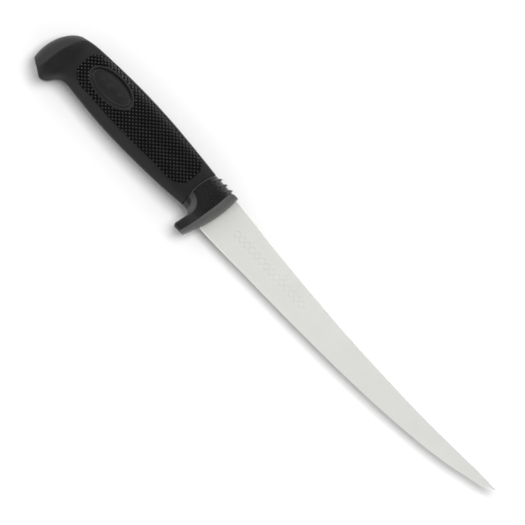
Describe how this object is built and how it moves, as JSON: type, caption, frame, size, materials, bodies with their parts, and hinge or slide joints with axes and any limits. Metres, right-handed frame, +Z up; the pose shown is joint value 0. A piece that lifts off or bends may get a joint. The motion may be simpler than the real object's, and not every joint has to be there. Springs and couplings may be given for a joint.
{
  "type": "boning knife",
  "caption": "Long narrow upswept boning knife with a moulded handle, finger guard, beaked pommel and chequered side inlays.",
  "frame": {"origin": "middle of the rectangle that the knife covers as it lies on its right flank, at the height of the surface", "axes": "+X to the tip, +Y to the spine of the blade and the back of the handle, +Z up, out of the left flank"},
  "size_m": [0.3088, 0.0338, 0.02],
  "materials": {
    "blade_steel": "satin, brushed across the blade",
    "guard_plastic": "fine spark-eroded satin",
    "core_plastic": "as moulded",
    "grip_rubber": "smooth satin",
    "inlay_rubber": "chequered, matt",
    "badge_rubber": "smooth satin with a raised plain rim"
  },
  "bodies": {
    "root": {"blade": "blade_steel", "guard": "guard_plastic", "handle_core": "core_plastic", "grip_shell": "grip_rubber", "grip_inlay_left": "inlay_rubber", "grip_inlay_right": "inlay_rubber", "badge_left": "badge_rubber", "badge_right": "badge_rubber"}
  },
  "joints": []
}
